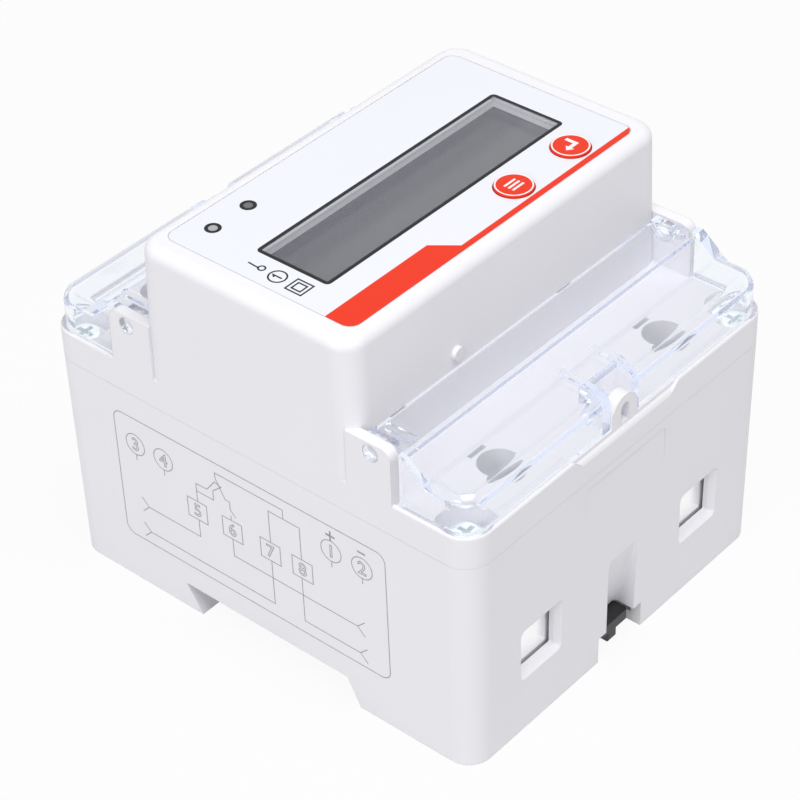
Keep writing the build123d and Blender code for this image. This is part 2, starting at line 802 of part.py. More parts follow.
# Rail clip: slider with two spring legs, a nose under the rail and a tongue with a stem for the driver
with BuildPart() as din_clip:
    slider_half = channel_width / 2 + channel_lip - clip_gap
    slider_end_y = slot_bottom_y - 1.0
    slider_start_y = -length / 2 + channel_wall + clip_travel + clip_gap
    slider_low_z = channel_lip_z + clip_gap
    slider_high_z = channel_top_z - clip_gap
    leg_slot_x = slider_half - leg_width - leg_slot / 2
    leg_slot_start_y = slider_start_y + 1.0
    leg_slot_end_y = slider_end_y - leg_root
    tongue_end_y = -length / 2 + tongue_inset
    with BuildSketch(Plane.XY.offset(slider_low_z)):
        with Locations((0, (slider_start_y + slider_end_y) / 2)):
            Rectangle(2 * slider_half, slider_end_y - slider_start_y)
        with Locations(
            (-leg_slot_x, (leg_slot_start_y + leg_slot_end_y) / 2),
            (leg_slot_x, (leg_slot_start_y + leg_slot_end_y) / 2),
        ):
            Rectangle(leg_slot, leg_slot_end_y - leg_slot_start_y, mode=Mode.SUBTRACT)
    extrude(amount=slider_high_z - slider_low_z)
    # Nose that reaches under the rail's edge
    with BuildSketch(Plane.YZ.offset(-tongue_width / 2)):
        with BuildLine():
            nose_top_z = slider_high_z - nose_step
            nose_end_y = slot_bottom_y + clip_nose
            Polyline(
                (slider_end_y - 1, slider_low_z),
                (slider_end_y - 1, nose_top_z),
                (nose_end_y, nose_top_z),
                (nose_end_y, nose_top_z - nose_thickness),
                (nose_end_y - nose_bevel, slider_low_z),
                close=True,
            )
        make_face()
    extrude(amount=tongue_width)
    # Tongue that ends under the driver ramp
    with BuildSketch(Plane.XY.offset(tongue_low_z)) as tongue_outline:
        with Locations((0, (tongue_end_y + slider_start_y + 1) / 2)):
            Rectangle(tongue_width, slider_start_y + 1 - tongue_end_y)
        fillet(tongue_outline.vertices().group_by(Axis.Y)[0], radius=tongue_corner)
    extrude(amount=slider_high_z - tongue_low_z)
    # Stem under the tongue
    with BuildSketch(Plane.YZ.offset(-stem_width / 2)) as stem_profile:
        with Locations((tongue_end_y + stem_inset + stem_thickness / 2, (stem_low_z + slider_high_z) / 2)):
            Rectangle(stem_thickness, slider_high_z - stem_low_z)
        fillet(stem_profile.vertices().group_by(Axis.Y)[0], radius=0.3 * stem_thickness)
    extrude(amount=stem_width)
din_clip.part.label = "din_clip"


def clamp_at(x, side):
    """Rising clamp cage round the busbar at x, at the bottom (-1) or top (1) end."""
    clamp_length = clamp_front_y - clamp_back_y
    clamp_middle_y = side * (clamp_front_y + clamp_back_y) / 2
    with BuildPart() as clamp:
        with BuildSketch(Plane.XY.offset(clamp_low_z)):
            with Locations((x, clamp_middle_y)):
                RectangleRounded(clamp_width, clamp_length, 1.0)
        extrude(amount=clamp_top_z - clamp_low_z)
        # Opening for the wire and the busbar, over the closing apron
        with BuildSketch(Plane.XZ.offset(-clamp_middle_y)):
            with Locations((x, (sill_z + clamp_under_z) / 2)):
                Rectangle(clamp_width - 2 * clamp_wall, clamp_under_z - sill_z)
        extrude(amount=clamp_length, both=True, mode=Mode.SUBTRACT)
        # Hollow behind the apron
        with BuildSketch(Plane.XY.offset(clamp_low_z - 1)):
            with Locations((x, clamp_middle_y - side * clamp_wall)):
                Rectangle(clamp_width - 2 * clamp_wall, clamp_length)
        extrude(amount=sill_z - 2 * clamp_wall - clamp_low_z + 1, mode=Mode.SUBTRACT)
        # Threaded hole
        with Locations((x, side * terminal_y, clamp_top_z)):
            Hole(screw_radius + thread_clearance, depth=clamp_top + 1)
    return clamp.part


def terminal_screw_at(x, side):
    """Clamp screw with a cross and slot drive in its head."""
    with BuildPart() as screw:
        with BuildSketch(Plane.XY.offset(bar_top_z + thread_clearance)):
            with Locations((x, side * terminal_y)):
                Circle(screw_radius)
        extrude(amount=head_under_z - bar_top_z)
        with BuildSketch(Plane.XY.offset(head_under_z)):
            with Locations((x, side * terminal_y)):
                Circle(head_radius)
        extrude(amount=head_height)
        fillet(screw.faces().sort_by(Axis.Z)[-1].edges(), radius=0.5)
        with BuildSketch(Plane.XY.offset(head_top_z)):
            with Locations((x, side * terminal_y)):
                Rectangle(2 * head_radius, drive_slot)
                Rectangle(drive_slot, head_radius * 1.2)
        extrude(amount=-drive_depth, mode=Mode.SUBTRACT)
    return screw.part


terminals = {
    "line_in": (-terminal_x, -1),
    "neutral_in": (terminal_x, -1),
    "line_out": (-terminal_x, 1),
    "neutral_out": (terminal_x, 1),
}
clamps = {}
terminal_screws = {}
for terminal, (x, side) in terminals.items():
    clamps[terminal] = clamp_at(x, side)
    clamps[terminal].label = terminal + "_clamp"
    terminal_screws[terminal] = terminal_screw_at(x, side)
    terminal_screws[terminal].label = terminal + "_screw"


def busbar(x, start_y, end_y):
    """Flat copper bar along Y on the posts, with its corners cut."""
    with BuildPart() as bar:
        with BuildSketch(Plane.XY.offset(bar_z)) as outline:
            with Locations((x, (start_y + end_y) / 2)):
                Rectangle(bar_width, end_y - start_y)
            chamfer(outline.vertices(), length=bar_corner)
        extrude(amount=bar_thickness)
    return bar.part


line_in_busbar = busbar(-terminal_x, -bar_end_y, -relay_length / 2 - shunt_length)
line_in_busbar.label = "line_in_busbar"
line_out_busbar = busbar(-terminal_x, relay_length / 2, bar_end_y)
line_out_busbar.label = "line_out_busbar"
neutral_busbar = busbar(terminal_x, -bar_end_y, bar_end_y)
neutral_busbar.label = "neutral_busbar"

# Shunt between the line bar and the relay, slotted to trim its resistance
with BuildPart() as current_shunt:
    with BuildSketch(Plane.XY.offset(bar_z)):
        with Locations((-terminal_x, -relay_length / 2 - shunt_length / 2)):
            Rectangle(bar_width, shunt_length)
        with Locations((-terminal_x - bar_width / 2, -relay_length / 2 - shunt_length / 2)):
            Rectangle(bar_width / 2, shunt_slot, mode=Mode.SUBTRACT)
    extrude(amount=bar_thickness)
current_shunt.part.label = "current_shunt"

# Latching relay
with BuildPart() as latching_relay:
    with BuildSketch(Plane.XY.offset(relay_z)):
        with Locations((-terminal_x, 0)):
            Rectangle(relay_width, relay_length)
    extrude(amount=relay_height)
    chamfer(latching_relay.edges().filter_by(Axis.Z), length=relay_corner)
latching_relay.part.label = "latching_relay"

# Main board, components down
with BuildPart() as main_board:
    with BuildSketch(Plane.XY.offset(main_board_z)) as main_outline:
        Rectangle(main_board_width, main_board_length)
        chamfer(main_outline.vertices(), length=board_corner)
    extrude(amount=board_thickness)
main_board.part.label = "main_board"

# Safety capacitor in its box
with BuildPart() as safety_capacitor:
    with BuildSketch(Plane.XY.offset(main_board_z)):
        with Locations((box_x, box_y)):
            Rectangle(box_length, box_width)
    extrude(amount=-box_height)
    chamfer(safety_capacitor.edges().filter_by(Axis.Z), length=box_corner)
safety_capacitor.part.label = "safety_capacitor"

# Filter capacitor can with its rolled groove
with BuildPart() as filter_capacitor:
    with BuildSketch(Plane.XZ.offset(-can_y)):
        with BuildLine():
            Polyline(
                (can_x, main_board_z),
                (can_x + can_radius, main_board_z),
                (can_x + can_radius, main_board_z - can_groove_z + can_groove),
                (can_x + can_radius - can_groove, main_board_z - can_groove_z),
                (can_x + can_radius, main_board_z - can_groove_z - can_groove),
                (can_x + can_radius, main_board_z - can_height + can_groove),
                (can_x + can_radius - can_groove, main_board_z - can_height),
                (can_x, main_board_z - can_height),
                close=True,
            )
        make_face()
    revolve(axis=Axis((can_x, can_y, 0), (0, 0, 1)))
filter_capacitor.part.label = "filter_capacitor"

# Disc varistor on its two leads
with BuildPart() as varistor:
    with BuildSketch(Plane.XZ.offset(-disc_y)):
        with Locations((disc_x, main_board_z - disc_drop)):
            Circle(disc_radius)
    extrude(amount=disc_thickness / 2, both=True)
    fillet(varistor.edges(), radius=disc_edge)
    with BuildSketch(Plane.XY.offset(main_board_z)):
        with Locations((disc_x, disc_y)):
            with GridLocations(disc_lead_spacing, 1, 2, 1):
                Circle(disc_lead_radius)
    extrude(amount=disc_edge - disc_drop)
varistor.part.label = "varistor"

# Metering chip and optocoupler
with BuildPart() as metering_chip:
    with BuildSketch(Plane.XY.offset(main_board_z)):
        with Locations((chip_x, 0)):
            Rectangle(chip_width, chip_length)
    extrude(amount=-chip_height)
metering_chip.part.label = "metering_chip"
with BuildPart() as optocoupler:
    with BuildSketch(Plane.XY.offset(main_board_z)):
        with Locations((coupler_x, coupler_y)):
            Rectangle(coupler_length, coupler_width)
    extrude(amount=-coupler_height)
optocoupler.part.label = "optocoupler"

# Stacking header: a pin strip on the main board and a socket strip under the display board
with BuildPart() as stacking_header:
    header_room = display_board_z - main_board_top_z
    with BuildSketch(Plane.XY.offset(main_board_top_z)):
        with Locations((header_x, header_y)):
            Rectangle(header_length, header_pitch)
    extrude(amount=header_pitch)
    with BuildSketch(Plane.XY.offset(display_board_z)):
        with Locations((header_x, header_y)):
            Rectangle(header_length, header_pitch)
    extrude(amount=-(header_room - header_pitch - header_bare))
    with BuildSketch(Plane.XY.offset(main_board_top_z)):
        with Locations((header_x, header_y)):
            with GridLocations(header_pitch, 1, round(header_length / header_pitch), 1):
                Rectangle(header_pin, header_pin)
    extrude(amount=header_room)
stacking_header.part.label = "stacking_header"

# Display board
with BuildPart() as display_board:
    with BuildSketch(Plane.XY.offset(display_board_z)) as display_outline:
        Rectangle(display_board_width, display_board_length)
        chamfer(display_outline.vertices(), length=board_corner)
        with GridLocations(2 * display_post_x, 2 * display_post_y, 2, 2):
            Circle(board_screw_radius + 0.2, mode=Mode.SUBTRACT)
    extrude(amount=board_thickness)
display_board.part.label = "display_board"

# Its four screws, from below
with BuildPart() as display_board_screws:
    with BuildSketch(Plane.XY.offset(display_board_z)):
        with GridLocations(2 * display_post_x, 2 * display_post_y, 2, 2):
            Circle(board_screw_head)
    extrude(amount=-board_screw_head_height)
    with BuildSketch(Plane.XY.offset(display_board_z)):
        with GridLocations(2 * display_post_x, 2 * display_post_y, 2, 2):
            Circle(board_screw_radius)
    extrude(amount=board_screw_length)
display_board_screws.part.label = "display_board_screws"

# LCD backlight and glass
with BuildPart() as lcd_backlight:
    with BuildSketch(Plane.XY.offset(display_board_top_z)):
        with Locations((window_x, window_y)):
            Rectangle(lcd_width, lcd_height)
    extrude(amount=backlight_thickness)
lcd_backlight.part.label = "lcd_backlight"
with BuildPart() as lcd_glass:
    with BuildSketch(Plane.XY.offset(lcd_top_z - lcd_thickness)):
        with Locations((window_x, window_y)):
            Rectangle(lcd_width, lcd_height)
    extrude(amount=lcd_thickness)
lcd_glass.part.label = "lcd_glass"

# Clear window plate and the printed film round it
with BuildPart() as display_window:
    with BuildSketch(Plane.XY.offset(film_top_z - window_plate)):
        with Locations((window_x, window_y)):
            RectangleRounded(window_width - 2 * window_gap, window_height - 2 * window_gap, glass_corner)
    extrude(amount=window_plate)
display_window.part.label = "display_window"
with BuildPart() as faceplate_film:
    with BuildSketch(Plane.XY.offset(film_z)):
        with Locations((0, film_centre_y)):
            RectangleRounded(film_width, film_length, film_corner)
        with Locations((window_x, window_y)):
            RectangleRounded(window_width, window_height, glass_corner, mode=Mode.SUBTRACT)
        with Locations((button_x, button_y)):
            with GridLocations(button_spacing, 1, 2, 1):
                Circle(button_hole, mode=Mode.SUBTRACT)
        with Locations((power_x, light_y), (pulse_x, light_y)):
            Circle(light_radius + light_gap, mode=Mode.SUBTRACT)
    extrude(amount=film_thickness)
faceplate_film.part.label = "faceplate_film"


def light_pipe_at(x):
    """Clear pipe from the LED chip up to the face of the film."""
    shoulder_top_z = top_under_z - light_gap
    with BuildPart() as pipe:
        with BuildSketch(Plane.XY.offset(display_board_top_z + led_height)):
            with Locations((x, light_y)):
                Circle(light_shoulder)
        extrude(amount=shoulder_top_z - display_board_top_z - led_height)
        with BuildSketch(Plane.XY.offset(shoulder_top_z)):
            with Locations((x, light_y)):
                Circle(light_radius)
        extrude(amount=film_top_z - shoulder_top_z)
    return pipe.part


power_light_pipe = light_pipe_at(power_x)
power_light_pipe.label = "power_light_pipe"
pulse_light_pipe = light_pipe_at(pulse_x)
pulse_light_pipe.label = "pulse_light_pipe"

# The two LED chips under the pipes
with BuildPart() as led_chips:
    with BuildSketch(Plane.XY.offset(display_board_top_z)):
        with Locations((power_x, light_y), (pulse_x, light_y)):
            Rectangle(led_length, led_width)
    extrude(amount=led_height)
led_chips.part.label = "led_chips"

flange_top_z = top_under_z - 0.2
plunger_top_z = display_board_top_z + switch_height + plunger_height
well_depth = plunger_height + button_travel + 0.1


def button_at(x):
    """Round key with its captive flange and the stem that meets the switch."""
    with BuildPart() as button:
        with BuildSketch(Plane.XY.offset(plunger_top_z)):
            with Locations((x, button_y)):
                Circle(button_stem)
        extrude(amount=flange_top_z - plunger_top_z)
        with BuildSketch(Plane.XY.offset(flange_top_z - button_flange_thickness)):
            with Locations((x, button_y)):
                Circle(button_flange)
        extrude(amount=button_flange_thickness)
        with BuildSketch(Plane.XY.offset(flange_top_z)):
            with Locations((x, button_y)):
                Circle(button_radius)
        extrude(amount=film_top_z + button_proud - flange_top_z)
        fillet(button.faces().sort_by(Axis.Z)[-1].edges(), radius=0.2)
    return button.part


def switch_at(x):
    """Tactile switch body with the well that its plunger works in."""
    with BuildPart() as switch:
        with BuildSketch(Plane.XY.offset(display_board_top_z)) as switch_outline:
            with Locations((x, button_y)):
                Rectangle(switch_size, switch_size)
            chamfer(switch_outline.vertices(), length=0.5)
        extrude(amount=switch_height)
        with Locations((x, button_y, display_board_top_z + switch_height)):
            Hole(plunger_radius + thread_clearance, depth=well_depth)
    return switch.part


def plunger_at(x):
    """Plunger of a tactile switch."""
    with BuildPart() as plunger:
        with BuildSketch(Plane.XY.offset(plunger_top_z - 2 * plunger_height)):
            with Locations((x, button_y)):
                Circle(plunger_radius)
        extrude(amount=2 * plunger_height)
    return plunger.part


menu_x = button_x - button_spacing / 2
enter_x = button_x + button_spacing / 2
menu_button = button_at(menu_x)
menu_button.label = "menu_button"
menu_switch = switch_at(menu_x)
menu_switch.label = "menu_switch"
menu_plunger = plunger_at(menu_x)
menu_plunger.label = "menu_plunger"
enter_button = button_at(enter_x)
enter_button.label = "enter_button"
enter_switch = switch_at(enter_x)
enter_switch.label = "enter_switch"
enter_plunger = plunger_at(enter_x)
enter_plunger.label = "enter_plunger"

# Auxiliary terminal block
with BuildPart() as aux_terminal_block:
    aux_middle_y = aux_front_y - aux_depth / 2
    with BuildSketch(Plane.XY.offset(aux_low_z)):
        with Locations((0, aux_middle_y)):
            Rectangle(aux_width, aux_depth)
    extrude(amount=aux_top_z - aux_low_z)
    with BuildSketch(Plane.XZ.offset(-aux_front_y)):
        with Locations((0, aux_window_z)):
            with GridLocations(aux_pitch, 1, 4, 1):
                Rectangle(aux_window_width, aux_window_height)
    extrude(amount=aux_depth - 2, mode=Mode.SUBTRACT)
    with Locations((0, aux_middle_y, aux_top_z)):
        with GridLocations(aux_pitch, 1, 4, 1):
            Hole(aux_screw_radius + thread_clearance, depth=aux_top_z - aux_window_z)
aux_terminal_block.part.label = "aux_terminal_block"

# Its four slotted screws
with BuildPart() as aux_terminal_screws:
    with BuildSketch(Plane.XY.offset(aux_screw_top_z - aux_screw_height)):
        with Locations((0, aux_middle_y)):
            with GridLocations(aux_pitch, 1, 4, 1):
                Circle(aux_screw_radius)
    extrude(amount=aux_screw_height)
    with BuildSketch(Plane.XY.offset(aux_screw_top_z)):
        with Locations((0, aux_middle_y)):
            with GridLocations(aux_pitch, 1, 4, 1):
                Rectangle(2 * aux_screw_radius, aux_screw_slot)
    extrude(amount=-aux_screw_slot_depth, mode=Mode.SUBTRACT)
    with BuildSketch(Plane.XY.offset(aux_window_z + aux_window_height / 2)):
        with Locations((0, aux_middle_y)):
            with GridLocations(aux_pitch, 1, 4, 1):
                Circle(aux_screw_radius * 0.7)
    extrude(amount=aux_screw_top_z - aux_screw_height - aux_window_z - aux_window_height / 2)
aux_terminal_screws.part.label = "aux_terminal_screws"

# Housing screws: pan heads with a cross recess
with BuildPart() as housing_screws:
    with BuildSketch(Plane.XY.offset(seat_z)):
        with GridLocations(2 * corner_screw_x, 2 * corner_screw_y, 2, 2):
            Circle(pan_radius)
    extrude(amount=pan_height)
    fillet(housing_screws.faces().filter_by(Axis.Z).group_by(Axis.Z)[-1].edges(), radius=0.9)
    with BuildSketch(Plane.XY.offset(seat_z)):
        with GridLocations(2 * corner_screw_x, 2 * corner_screw_y, 2, 2):
            Circle(shank_radius)
    extrude(amount=-(shank_length - 1))
    with BuildSketch(Plane.XY.offset(seat_z + pan_height)):
        with GridLocations(2 * corner_screw_x, 2 * corner_screw_y, 2, 2):
            Rectangle(cross_length, cross_width)
            Rectangle(cross_width, cross_length)
    extrude(amount=-cross_depth, mode=Mode.SUBTRACT)
housing_screws.part.label = "housing_screws"

sub_parts = [
    lower_housing.part,
    upper_housing.part,
    bottom_terminal_cover.part,
    top_terminal_cover.part,
    din_clip.part,
    line_in_busbar,
    line_out_busbar,
    neutral_busbar,
    current_shunt.part,
    latching_relay.part,
    main_board.part,
    safety_capacitor.part,
    filter_capacitor.part,
    varistor.part,
    metering_chip.part,
    optocoupler.part,
    stacking_header.part,
    display_board.part,
    display_board_screws.part,
    lcd_backlight.part,
    lcd_glass.part,
    display_window.part,
    faceplate_film.part,
    power_light_pipe,
    pulse_light_pipe,
    led_chips.part,
    menu_button,
    menu_switch,
    menu_plunger,
    enter_button,
    enter_switch,
    enter_plunger,
    aux_terminal_block.part,
    aux_terminal_screws.part,
    housing_screws.part,
]
sub_parts += list(clamps.values())
sub_parts += list(terminal_screws.values())
for piece in sub_parts:
    export_step(piece, "parts/" + piece.label + ".step")
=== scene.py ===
import math

import bmesh
import bpy
from mathutils import Matrix, Vector


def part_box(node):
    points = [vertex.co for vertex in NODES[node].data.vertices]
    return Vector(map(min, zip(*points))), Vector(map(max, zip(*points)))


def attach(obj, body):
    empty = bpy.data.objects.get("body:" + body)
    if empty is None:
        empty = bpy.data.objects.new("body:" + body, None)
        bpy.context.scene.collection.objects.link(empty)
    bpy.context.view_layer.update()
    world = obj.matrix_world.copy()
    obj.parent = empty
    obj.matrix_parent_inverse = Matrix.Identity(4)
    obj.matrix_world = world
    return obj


bl_info = {
    "name": "DIN rail energy meter",
    "version": (1, 0, 0),
    "blender": (4, 5, 0),
    "location": "3D View > Sidebar > Meter",
    "description": "Finishes, prints, camera and light for a DIN rail energy meter",
    "category": "Object",
}

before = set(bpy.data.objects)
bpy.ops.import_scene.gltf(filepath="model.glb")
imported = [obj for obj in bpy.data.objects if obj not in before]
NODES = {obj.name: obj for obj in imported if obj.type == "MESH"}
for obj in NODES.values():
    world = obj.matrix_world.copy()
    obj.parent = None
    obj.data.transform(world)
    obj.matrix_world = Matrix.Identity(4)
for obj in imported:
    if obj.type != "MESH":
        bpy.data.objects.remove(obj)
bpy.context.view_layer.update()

MM = 0.001

# Heights and widths that the prints sit on, read from the frame
FILM_LOW, FILM_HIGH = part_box("faceplate_film")
WINDOW_LOW, WINDOW_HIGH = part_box("display_window")
HOUSING_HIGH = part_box("lower_housing")[1]
PARTING_Z = HOUSING_HIGH.z / MM
HALF_WIDTH = HOUSING_HIGH.x / MM
# The side walls lean in by this much towards the back, as the mould needs
BODY_DRAFT = math.radians(0.6)


def linear(hex_colour):
    """An sRGB hex colour as linear red, green, blue and alpha."""
    out = []
    for start in (1, 3, 5):
        c = int(hex_colour[start:start + 2], 16) / 255
        out.append(c / 12.92 if c <= 0.04045 else ((c + 0.055) / 1.055) ** 2.4)
    return (*out, 1.0)


def srgb_default(hex_colour):
    """An sRGB hex colour as the default of a colour property, which Blender keeps linear."""
    return linear(hex_colour)[:3]


class MeterPrints(bpy.types.PropertyGroup):
    line_width: bpy.props.FloatProperty(
        name="Diagram line", description="Width of the marked lines on the side",
        default=0.16 * MM, unit="LENGTH")
    frame_width: bpy.props.FloatProperty(
        name="Window frame", description="Width of the black line round the display window",
        default=0.68 * MM, unit="LENGTH")
    ink_height: bpy.props.FloatProperty(
        name="Ink height", description="Thickness of the printed ink", default=0.02 * MM, unit="LENGTH")
    digit_height: bpy.props.FloatProperty(
        name="Digit size", description="Size of the plain numbers in the diagram",
        default=3.6 * MM, unit="LENGTH")


class MeterColours(bpy.types.PropertyGroup):
    housing: bpy.props.FloatVectorProperty(
        name="Housing", description="Colour of the moulded housing", subtype="COLOR",
        size=3, min=0, max=1, default=srgb_default("#EFEEF3"))
    film: bpy.props.FloatVectorProperty(
        name="Film", description="Colour of the front film", subtype="COLOR",
        size=3, min=0, max=1, default=srgb_default("#E9EBF2"))
    ink_red: bpy.props.FloatVectorProperty(
        name="Red", description="Colour of the stripe and the keys", subtype="COLOR",
        size=3, min=0, max=1, default=srgb_default("#E7300A"))
    ink_black: bpy.props.FloatVectorProperty(
        name="Black", description="Colour of the black print", subtype="COLOR",
        size=3, min=0, max=1, default=srgb_default("#0C0D10"))
    marking: bpy.props.FloatVectorProperty(
        name="Marking", description="Colour of the lines marked on the side", subtype="COLOR",
        size=3, min=0, max=1, default=srgb_default("#7E7E84"))
    cover_tint: bpy.props.FloatVectorProperty(
        name="Cover tint", description="What the clear covers make of white light at each surface",
        subtype="COLOR", size=3, min=0, max=1, default=srgb_default("#FDFEFF"))


class MeterStudio(bpy.types.PropertyGroup):
    focal_length: bpy.props.FloatProperty(
        name="Focal length", description="Of the camera, in millimetres on a 36 mm sensor", default=120.97)
    azimuth: bpy.props.FloatProperty(
        name="Azimuth", description="Where the camera stands round the object", subtype="ANGLE",
        default=math.radians(-48.26))
    elevation: bpy.props.FloatProperty(
        name="Elevation", description="How high the camera stands", subtype="ANGLE",
        default=math.radians(38.04))
    roll: bpy.props.FloatProperty(
        name="Roll", description="Turn of the camera about its own axis", subtype="ANGLE",
        default=math.radians(-1.966))
    key_power: bpy.props.FloatProperty(
        name="Key light", description="Strength of the overhead lamp", subtype="POWER", default=5.0)
    side_power: bpy.props.FloatProperty(
        name="Side light", description="Strength of the lamp on the left", subtype="POWER", default=2.6)
    sky_strength: bpy.props.FloatProperty(
        name="Sky", description="Strength of the even light all round", default=0.46)


def add_node(tree, kind, settings=(), inputs=()):
    """Adds a shader node and sets its properties and inputs. An input may be a socket to link from."""
    node = tree.nodes.new(kind)
    for key, value in dict(settings).items():
        setattr(node, key, value)
    for key, value in dict(inputs).items():
        if isinstance(value, bpy.types.NodeSocket):
            tree.links.new(value, node.inputs[key])
        else:
            node.inputs[key].default_value = value
    return node


def new_material(name):
    """An empty node material with its output."""
    material = bpy.data.materials.new(name)
    material.use_nodes = True
    material.node_tree.nodes.clear()
    return material, material.node_tree


def finish_material(tree, shader):
    add_node(tree, "ShaderNodeOutputMaterial", inputs={"Surface": shader})


def object_coordinates(tree, scale_mm):
    """Object coordinates divided so that one unit is scale_mm."""
    place = add_node(tree, "ShaderNodeTexCoord")
    scale = 1 / (scale_mm * MM)
    return add_node(tree, "ShaderNodeVectorMath", {"operation": "SCALE"},
                    {0: place.outputs["Object"], "Scale": scale}).outputs[0]


def grain_normal(tree, grain_mm, depth_mm, edge_mm=0.0):
    """Normal of a fine moulded grain, with the edges softened by edge_mm."""
    noise = add_node(tree, "ShaderNodeTexNoise", {"noise_dimensions": "3D"},
                     {"Vector": object_coordinates(tree, grain_mm), "Scale": 1.0, "Detail": 2.0})
    bump = add_node(tree, "ShaderNodeBump", inputs={
        "Height": noise.outputs["Fac"], "Distance": depth_mm * MM})
    if edge_mm:
        edge = add_node(tree, "ShaderNodeBevel", {"samples": 4}, {"Radius": edge_mm * MM})
        tree.links.new(edge.outputs["Normal"], bump.inputs["Normal"])
    return bump.outputs["Normal"]


def mottled(tree, colour, patch_mm, amount):
    """The colour, made a little lighter and darker in soft patches."""
    noise = add_node(tree, "ShaderNodeTexNoise", inputs={
        "Vector": object_coordinates(tree, patch_mm), "Scale": 1.0, "Detail": 3.0})
    value = add_node(tree, "ShaderNodeMapRange", inputs={
        "Value": noise.outputs["Fac"], "From Min": 0.3, "From Max": 0.7,
        "To Min": 1 - amount, "To Max": 1 + amount})
    return add_node(tree, "ShaderNodeHueSaturation", inputs={
        "Color": colour, "Value": value.outputs[0]}).outputs["Color"]


def plastic(name, colour, roughness, grain_mm=0.25, depth_mm=0.004, edge_mm=0.0, patch_mm=12.0, mottle=0.01,
            ior=1.54):
    """A moulded plastic: one body colour, a fine grain from the mould and a soft sheen."""
    material, tree = new_material(name)
    shader = add_node(tree, "ShaderNodeBsdfPrincipled", inputs={
        "Base Color": mottled(tree, (*colour[:3], 1.0), patch_mm, mottle),
        "Roughness": roughness,
        "IOR": ior,
        "Normal": grain_normal(tree, grain_mm, depth_mm, edge_mm)})
    finish_material(tree, shader.outputs[0])
    return material


def white_abs(colours):
    """ABS, moulded in a finely spark-eroded mould: a matt white with a soft sheen and no sparkle."""
    # The real grain is about 0.05 mm, too fine to show, so it is drawn at 0.3 mm
    return plastic("white_abs_moulded", colours.housing, roughness=0.42, grain_mm=0.3, depth_mm=0.003,
                   edge_mm=0.25, patch_mm=18.0, mottle=0.008)


def printed_film(colours):
    """Polyester film with a velvet print coat: smoother than the housing and a little bluer."""
    return plastic("polyester_film_velvet", colours.film, roughness=0.34, grain_mm=0.2, depth_mm=0.0015,
                   patch_mm=14.0, mottle=0.004, ior=1.6)


def screen_ink(name, colour):
    """Screen-printed ink: dense and flat, with a faint orange peel."""
    return plastic(name, colour, roughness=0.4, grain_mm=0.15, depth_mm=0.001, patch_mm=6.0, ior=1.35)


def laser_marking(colours):
    """Marking burnt into white ABS: grey, broken a little where the beam skipped."""
    material, tree = new_material("laser_marking_on_abs")
    # Grey varies over about 0.6 mm along a marked line
    noise = add_node(tree, "ShaderNodeTexNoise", inputs={
        "Vector": object_coordinates(tree, 0.6), "Scale": 1.0, "Detail": 2.0})
    ramp = add_node(tree, "ShaderNodeMix", {"data_type": "RGBA"}, {
        "Factor": noise.outputs["Fac"], "A": (*colours.marking, 1.0), "B": linear("#B4B4BA")})
    shader = add_node(tree, "ShaderNodeBsdfPrincipled", inputs={
        "Base Color": ramp.outputs["Result"], "Roughness": 0.55})
    finish_material(tree, shader.outputs[0])
    return material


# A ray that has met more surfaces of a clear piece than this, or been mirrored more often, goes straight on
MOST_SURFACES = 7
MOST_MIRRORINGS = 1
# What one clear surface leaves of the light on what lies under it
LIGHT_LET_THROUGH = linear("#F5F5F6")


def clear_moulding(name, colour, edge_colour, ior):
    """A clear moulding that bends light.

    Each surface that a ray meets tints it a little, so only edges, where it meets many, look coloured.
    """
    material, tree = new_material(name)
    glass = add_node(tree, "ShaderNodeBsdfGlass", inputs={
        "Color": (*colour[:3], 1.0), "Roughness": 0.0, "IOR": ior})
    # Lamps and the light off white walls pass straight through with a small loss, and so does a ray that
    # an edge keeps inside
    ray = add_node(tree, "ShaderNodeLightPath")
    long_way = add_node(tree, "ShaderNodeMath", {"operation": "GREATER_THAN"}, {
        0: ray.outputs["Ray Depth"], 1: MOST_SURFACES})
    mirrored = add_node(tree, "ShaderNodeMath", {"operation": "GREATER_THAN"}, {
        0: ray.outputs["Glossy Depth"], 1: MOST_MIRRORINGS})
    caught = add_node(tree, "ShaderNodeMath", {"operation": "MAXIMUM"}, {
        0: long_way.outputs[0], 1: mirrored.outputs[0]})
    colour_out = add_node(tree, "ShaderNodeMix", {"data_type": "RGBA"}, {
        "Factor": caught.outputs[0], "A": LIGHT_LET_THROUGH, "B": linear(edge_colour)})
    straight = add_node(tree, "ShaderNodeBsdfTransparent", inputs={"Color": colour_out.outputs["Result"]})
    lit = add_node(tree, "ShaderNodeMath", {"operation": "MAXIMUM"}, {
        0: ray.outputs["Is Shadow Ray"], 1: ray.outputs["Is Diffuse Ray"]})
    passing = add_node(tree, "ShaderNodeMath", {"operation": "MAXIMUM"}, {
        0: caught.outputs[0], 1: lit.outputs[0]})
    finish_material(tree, add_node(tree, "ShaderNodeMixShader", inputs={
        "Fac": passing.outputs[0], 1: glass.outputs[0], 2: straight.outputs[0]}).outputs[0])
    return material


def plated_metal(name, colour, roughness, streak_mm=0.4):
    """Plated steel: a bright metal whose roughness wanders a little, as plating does."""
    material, tree = new_material(name)
    noise = add_node(tree, "ShaderNodeTexNoise", inputs={
        "Vector": object_coordinates(tree, streak_mm), "Scale": 1.0, "Detail": 3.0})
    rough = add_node(tree, "ShaderNodeMapRange", inputs={
        "Value": noise.outputs["Fac"], "To Min": roughness * 0.8, "To Max": roughness * 1.25})
    shader = add_node(tree, "ShaderNodeBsdfPrincipled", inputs={
        "Base Color": linear(colour), "Metallic": 1.0, "Roughness": rough.outputs[0],
        "Normal": grain_normal(tree, streak_mm, 0.002, edge_mm=0.1)})
    finish_material(tree, shader.outputs[0])
    return material


